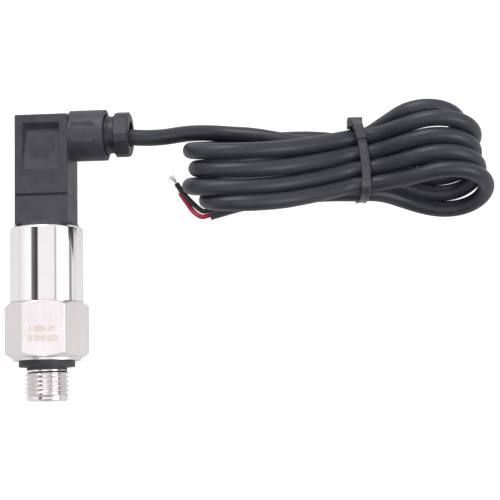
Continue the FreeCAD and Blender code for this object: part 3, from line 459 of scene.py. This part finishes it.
hank = {
    "turnPoints": 8,
    # each bight: middle along X and Y, radius, lean of its top and of its foot,
    # how far past its top it begins, and the height of its foot
    "rightBights": [(114.2, 69.1, 10.2, 23.2, 21.0, 40, -8.7), (116.9, 65.2, 11.8, 20.2, 24.5, 48, -8.7),
                    (116.9, 60.1, 11.8, 20.2, 28.9, 48, -8.7), (118.1, 55.25, 11.8, 19.4, 29.2, 48, -8.7),
                    (120.25, 49.95, 11.8, 20.2, 26.4, 48, -8.7)],
    "leftBights": [(56.9, 62.05, 13.2, -10.9, -10.9, 16, -8.7), (58.5, 56.6, 13.2, -10.9, -10.9, 16, -8.7),
                   (56.6, 51.3, 13.2, -10.9, -10.9, 16, -8.7), (59.6, 46.7, 11.2, -12.7, -12.7, 16, -4.6)],
    # the runs over the top, where they pass through the tie: Y and height
    "topAtTie": [(66.1, 0.45), (61.3, 0.45), (56.5, 0.45), (51.6, 0.45)],
    "beforeTie": (-2.8, -0.1), "afterTie": (2.1, 0.1),
    # how far the runs over the top have come along X, Y and Z on their way to the tie and from it
    "overLeft": [(0.27, 0.12, 0.16), (0.5, 0.36, 0.42), (0.72, 0.64, 0.72), (0.89, 0.87, 0.93)],
    "overRight": [(0.36, 0.3, 0.22), (0.7, 0.68, 0.6)],
    # the runs underneath: right of the tie, through it, and left of it
    "backs": [
        [(109.2, 65.6, -8.7), (104.0, 66.6, -8.6), (99.4, 65.4, -8.2), (94.6, 64.8, -8.0),
         (88.0, 66.4, -8.6), (81.5, 67.1, -8.7), (74.5, 67.2, -8.7), (67.5, 66.8, -8.7),
         (61.8, 65.2, -8.7)],
        [(110.5, 60.9, -8.7), (104.6, 61.9, -5.6), (97.8, 61.4, -3.9), (92.8, 61.4, -4.1),
         (85.0, 62.6, -6.2), (76.0, 62.4, -8.4), (66.0, 60.4, -8.7)],
        [(110.6, 56.2, -8.7), (104.5, 57.5, -8.0), (97.8, 57.7, -7.0), (92.8, 57.6, -7.1),
         (85.5, 56.7, -8.4), (76.0, 55.5, -8.7), (65.5, 54.2, -8.7)],
        [(111.6, 50.9, -8.7), (105.0, 52.9, -6.8), (97.8, 54.1, -3.4), (92.8, 54.2, -3.3),
         (85.5, 53.9, -3.3), (76.0, 52.0, -3.4), (66.5, 50.0, -4.2)],
        [(113.7, 45.9, -8.7), (107.3, 48.0, -7.6), (102.0, 49.3, -4.9), (97.8, 49.5, -3.4),
         (92.8, 49.4, -3.4)],
    ],
}


def between(a, b, share):
    return a + (b - a) * share


def onSpoutAxis(x):
    turn = radians(cable["plugTurn"])
    return (x * cos(turn), cable["spoutLevel"], x * sin(turn))


def bightPoints(bight, side):  # side is 1 on the right, where a bight runs down, and -1 on the left
    x, y, radius, topLean, footLean, past, foot = bight
    count = hank["turnPoints"]
    middle = foot + radius * cos(radians(footLean))
    start, sweep = side * pi / 2 + (radians(past) if side > 0 else 0.0), radians(180 + past)
    points = []
    for k in range(count):
        angle = start - sweep * k / (count - 1)
        atFoot = k == (count - 1 if side > 0 else 0)
        reach = radius if atFoot else radius / cos(sweep / (count - 1) / 2)
        lean = topLean if sin(angle) > 0 else footLean
        points.append((x + reach * cos(angle), y + reach * sin(angle) * sin(radians(lean)),
                       middle + reach * sin(angle) * cos(radians(lean))))
    return points


def onTheWay(start, end, steps):
    return [tuple(between(a, b, s) for a, b, s in zip(start, end, step)) for step in steps]


def hankPoints():
    tieX, points = cable["tieX"], []
    for i, back in enumerate(hank["backs"]):
        points += bightPoints(hank["rightBights"][i], 1) + back
        if i == len(hank["leftBights"]):
            break
        left = bightPoints(hank["leftBights"][i], -1)
        right = bightPoints(hank["rightBights"][i + 1], 1)
        y, z = hank["topAtTie"][i]
        before, after = [(tieX + dx, y + dy, z) for dx, dy in (hank["beforeTie"], hank["afterTie"])]
        points += left + onTheWay(left[-1], before, hank["overLeft"]) + [before, after]
        points += onTheWay(after, right[0], hank["overRight"])
    return points


def cablePoints():
    # the runs lie on the floor and never in it
    lowest = cable["floor"] + cable["diameter"] / 2
    points = [onSpoutAxis(x) for x in cable["insideSpout"]] + cable["lead"] + cable["leadAtTie"]
    points += hankPoints() + cable["tail"]
    return [(x, y, max(z, lowest)) for x, y, z in points]


def addCable():
    curve = splineCurve("cable", cablePoints(), cable["diameter"] * mm, cable["sides"], cable["steps"])
    return addPiece("cable", curve, "transmitter", "cable_jacket", "cable_lead", "cable_tail", "cable_hank")


jacket = addCable()


sharpAngle = 30.0  # edges steeper than this stay crisp


def meshFrom(name, points, faces):
    mesh = bpy.data.meshes.new(name)
    mesh.from_pydata([tuple(value * mm for value in point) for point in points], [], faces)
    tidied = bmesh.new()
    tidied.from_mesh(mesh)
    bmesh.ops.remove_doubles(tidied, verts=tidied.verts, dist=0.002 * mm)
    bmesh.ops.recalc_face_normals(tidied, faces=tidied.faces)
    tidied.to_mesh(mesh)
    tidied.free()
    mesh.shade_smooth()
    mesh.set_sharp_from_angle(angle=radians(sharpAngle))
    return mesh


def turnedFaces(profile, sides):
    # rings of points about Y joined into a skin, one ring for each (radius, y) of the profile
    points, faces = [], []
    for radius, y in profile:
        for k in range(sides):
            angle = 2 * pi * k / sides
            points.append((radius * cos(angle), y, radius * sin(angle)))
    for row in range(len(profile) - 1):
        for k in range(sides):
            a, b = row * sides + k, row * sides + (k + 1) % sides
            faces.append((a, b, b + sides, a + sides))
    return points, faces


thread = {
    "pitch": 1.337, "crest": 6.5785, "root": 5.72, "relief": 5.75, "leadIn": 6.1, "leadInChamfer": 0.35,
    "reliefEnd": -2.8, "leadInStart": -10.8, "tip": -11.9, "bore": 2.0, "runOut": 0.45, "sides": 96,
    # along one pitch: how far down it, and how high between root and crest
    "flank": [(0.0, 0.0), (0.09, 0.06), (0.42, 0.93), (0.47, 1.0), (0.53, 1.0), (0.58, 0.93), (0.91, 0.06)],
}


def threadPoints():
    # a strip along the helix, held between the relief and the smooth lead-in
    sides, pitch, flank = thread["sides"], thread["pitch"], thread["flank"]
    top, foot, runOut = thread["reliefEnd"], thread["leadInStart"], thread["runOut"]
    steps = int(((top - foot) / pitch + 2) * sides)
    numbers, points, faces = {}, [], []

    def number(step, part):
        step, part = step + sides * (part // len(flank)), part % len(flank)
        if (step, part) not in numbers:
            down, height = flank[part]
            angle = 2 * pi * step / sides
            y = max(foot, min(top, top + pitch - pitch * (step / sides + down)))
            radius = between(thread["root"], thread["crest"], height)
            least = between(thread["leadIn"], thread["root"], min(1, (y - foot) / runOut))
            least = max(least, between(thread["relief"], thread["root"], min(1, (top - y) / runOut)))
            most = min(thread["crest"], thread["relief"] + (top - y), thread["leadIn"] + (y - foot))
            radius = min(max(radius, least), max(most, least))
            numbers[step, part] = len(points)
            points.append((radius * cos(angle), y, radius * sin(angle)))
        return numbers[step, part]

    for step in range(steps):
        for part in range(len(flank)):
            faces.append((number(step, part), number(step + 1, part), number(step + 1, part + 1),
                          number(step, part + 1)))
    return points, faces


def addFitting():
    # the solid's own hexagon and bore, with a stem that has a real thread
    shape = bmesh.new()
    shape.from_mesh(nodes["hex_fitting"].data)
    boreSide = thread["bore"] * 1.1 * mm  # a little outside the bore, to keep its wall

    def onStem(face):
        middle = face.calc_center_median()
        return middle.y < stemTop * mm and Vector((middle.x, middle.z)).length > boreSide

    waste = [face for face in shape.faces if onStem(face)]
    bmesh.ops.delete(shape, geom=waste, context="FACES")
    kept = bpy.data.meshes.new("fittingBody")
    shape.to_mesh(kept)
    shape.free()
    points = [tuple(value / mm for value in vertex.co) for vertex in kept.vertices]
    faces = [tuple(polygon.vertices) for polygon in kept.polygons]
    rim, chamfer = thread["leadIn"], thread["leadInChamfer"]
    neck = [(thread["relief"], 0.0), (thread["relief"], thread["reliefEnd"])]
    end = [(rim, thread["leadInStart"]), (rim, thread["tip"] + chamfer), (rim - chamfer, thread["tip"]),
           (thread["bore"], thread["tip"])]
    parts = [turnedFaces(neck, thread["sides"]), threadPoints(), turnedFaces(end, thread["sides"])]
    for morePoints, moreFaces in parts:
        first = len(points)
        points += morePoints
        faces += [tuple(first + k for k in face) for face in moreFaces]
    return addPiece("hexFitting", meshFrom("hexFitting", points, faces), "transmitter", "fitting_steel",
                    "hex_fitting")


# the skirt is a band of dark rubber round the thread's relief, put where the relief lies in shade: painted
# shade
seal = {"inner": 5.85, "outer": 8.4, "top": 0.0, "foot": -1.8, "groove": 0.1, "grooves": (-0.55, -1.2),
        "edge": 0.16, "shadeSkirt": 6.0, "shadeSkirtFoot": -2.75, "sides": 96}


def addSeal():
    outer, edge, depth = seal["outer"], seal["edge"], seal["groove"]
    profile = [(seal["inner"], seal["top"]), (outer - edge, seal["top"]), (outer, seal["top"] - edge)]
    for y in seal["grooves"]:
        profile += [(outer, y + depth), (outer - depth, y), (outer, y - depth)]
    # the skirt round the relief stands in for the shade there: painted shade
    profile += [(outer, seal["foot"] + edge), (outer - edge, seal["foot"]), (seal["shadeSkirt"], seal["foot"]),
                (seal["shadeSkirt"], seal["shadeSkirtFoot"]), (seal["inner"], seal["shadeSkirtFoot"]),
                (seal["inner"], seal["top"])]
    points, faces = turnedFaces(profile, seal["sides"])
    mesh = meshFrom("threadSeal", points, faces)
    return addPiece("threadSeal", mesh, "transmitter", "seal_rubber", "thread_seal")


tie = {
    "width": 2.6, "thickness": 1.1, "recess": 0.14, "rail": 0.42, "slope": 0.15,
    # where the strap's inner face runs round the bundle: X, Y, Z
    "loop": [(93.4, 69.0, 1.6), (94.2, 67.6, 2.9), (94.9, 65.0, 2.95), (95.4, 62.0, 2.95),
             (95.8, 59.2, 2.95), (96.05, 56.3, 2.95), (96.1, 53.6, 2.95), (96.1, 51.2, 2.9),
             (96.0, 49.2, 1.6), (95.6, 47.9, -0.6), (95.2, 47.6, -3.3), (94.7, 47.7, -6.2),
             (94.4, 48.9, -8.7), (94.2, 51.0, -9.8), (94.0, 55.0, -9.8), (93.8, 59.0, -9.8),
             (93.6, 63.0, -9.8), (93.5, 66.2, -9.8), (93.4, 68.0, -8.7), (93.3, 68.6, -6.0),
             (93.3, 68.65, -3.0), (93.3, 69.0, 0.0)],
    "head": ((90.8, 68.7, -1.6), (95.3, 71.6, 3.7)),
    "tab": [(92.9, 70.9, 2.6), (93.4, 70.0, 4.1), (94.1, 68.2, 4.3), (94.7, 66.2, 4.3), (94.9, 65.0, 4.15)],
    "tabWidth": 2.9, "tabThickness": 0.9, "edge": 0.35, "edgeAngle": 50.0,
}


def strapFaces(path, width, thickness, closed):
    # a flat section with a shallow groove along its outside, carried along the path
    rail, recess, slope, half = tie["rail"], tie["recess"], tie["slope"], width / 2
    section = [(-half, 0.0), (-half, thickness - slope), (-half + slope, thickness),
               (-half + rail, thickness), (-half + rail + slope, thickness - recess),
               (half - rail - slope, thickness - recess), (half - rail, thickness),
               (half - slope, thickness), (half, thickness - slope), (half, 0.0)]
    middle = sum((Vector(point) for point in path), Vector()) / len(path)
    points, faces, count = [], [], len(path)
    for k, point in enumerate(path):
        before = Vector(path[(k - 1) % count] if closed or k else point)
        after = Vector(path[(k + 1) % count] if closed or k < count - 1 else point)
        along = (after - before).normalized()
        across = (Vector((1, 0, 0)) - along * along.x).normalized()
        outward = across.cross(along)
        facing = outward.dot(Vector(point) - middle) if closed else outward.z
        if facing < 0:
            outward = -outward
        points += [tuple(Vector(point) + across * x + outward * height) for x, height in section]
    size = len(section)
    for k in range(count if closed else count - 1):
        for j in range(size):
            a, b = k * size, ((k + 1) % count) * size
            faces.append((a + j, a + (j + 1) % size, b + (j + 1) % size, b + j))
    if not closed:
        faces += [tuple(range(size)), tuple(range((count - 1) * size, count * size))]
    return points, faces


def smoothPath(path, steps, closed):
    # a round-cornered path through the middles of the given legs
    out, count = [], len(path)
    for k in range(count if closed else count - 2):
        a, b, c = [Vector(path[(k + j) % count]) for j in range(3)]
        start = (a + b) / 2 if closed or k else a
        end = (b + c) / 2 if closed or k < count - 3 else c
        for j in range(steps):
            t = j / steps
            out.append(start * (1 - t) ** 2 + b * 2 * t * (1 - t) + end * t * t)
    return out if closed else out + [Vector(path[-1])]


def addTie():
    loop, tab = smoothPath(tie["loop"], 4, True), smoothPath(tie["tab"], 5, False)
    points, faces = strapFaces(loop, tie["width"], tie["thickness"], True)
    tabPoints, tabFaces = strapFaces(tab, tie["tabWidth"], tie["tabThickness"], False)
    faces += [tuple(len(points) + k for k in face) for face in tabFaces]
    points += tabPoints
    low, high = tie["head"]
    corners = [(x, y, z) for x in (low[0], high[0]) for y in (low[1], high[1]) for z in (low[2], high[2])]
    sides = ((0, 1, 3, 2), (4, 6, 7, 5), (0, 4, 5, 1), (2, 3, 7, 6), (0, 2, 6, 4), (1, 5, 7, 3))
    faces += [tuple(len(points) + k for k in face) for face in sides]
    points += corners
    mesh = meshFrom("cableTie", points, faces)
    piece = addPiece("cableTie", mesh, "transmitter", "tie_nylon", "cable_tie")
    bevel = piece.modifiers.new("edges", "BEVEL")
    bevel.width, bevel.segments = tie["edge"] * mm, 2
    bevel.limit_method, bevel.angle_limit = "ANGLE", radians(tie["edgeAngle"])
    return piece


strands = {
    "diameter": 0.3, "ring": 6, "ringRadius": 0.29, "tucked": 0.5, "flare": 1.1, "bendShare": 0.3,
    "rise": 0.4, "unevenEnds": (-0.5, 0.2),
    # where the strands leave the insulation, bend and end, and how far they splay
    "red_core_tip": {"from": (39.9, 51.35, -10.25), "to": [(39.2, 52.6, -10.2), (38.4, 54.2, -10.2)],
                     "splay": 0.35},
    "black_core_tip": {"from": (38.9, 54.0, -8.95), "to": [(38.2, 55.2, -9.2), (36.9, 56.6, -9.7)],
                       "splay": 0.75},
}


def addStrands(name, nodeName):
    random.seed(len(nodeName))
    look = strands[nodeName]
    start, (bend, end) = Vector(look["from"]), [Vector(point) for point in look["to"]]
    curve = bpy.data.curves.new(name, "CURVE")
    curve.dimensions, curve.bevel_depth, curve.bevel_resolution = "3D", strands["diameter"] / 2 * mm, 2
    curve.use_fill_caps = True
    along = (end - start).normalized()
    aside = along.cross(Vector((0, 0, 1))).normalized()
    above = aside.cross(along)
    for k in range(strands["ring"] + 1):  # a ring of strands round a middle one
        angle = 2 * pi * k / strands["ring"]
        reach = 0.0 if k == strands["ring"] else strands["ringRadius"]
        offset = aside * reach * cos(angle) + above * reach * sin(angle)
        stray = (aside * random.uniform(-1, 1) * look["splay"]
                 + above * random.uniform(-strands["rise"], strands["rise"]) * look["splay"])
        spline = curve.splines.new("POLY")
        path = [start - along * strands["tucked"] + offset, start + offset,
                bend + offset * strands["flare"] + stray * strands["bendShare"],
                end + offset + stray + along * random.uniform(*strands["unevenEnds"])]
        spline.points.add(len(path) - 1)
        for control, point in zip(spline.points, path):
            control.co = tuple(value * mm for value in point) + (1.0,)
    return addPiece(name, curve, "transmitter", "tinned_strands", nodeName)


addFitting()
addSeal()
addTie()
addStrands("redStrands", "red_core_tip")
addStrands("blackStrands", "black_core_tip")
print("fitting, seal, tie and strands made")

print("cable laid")
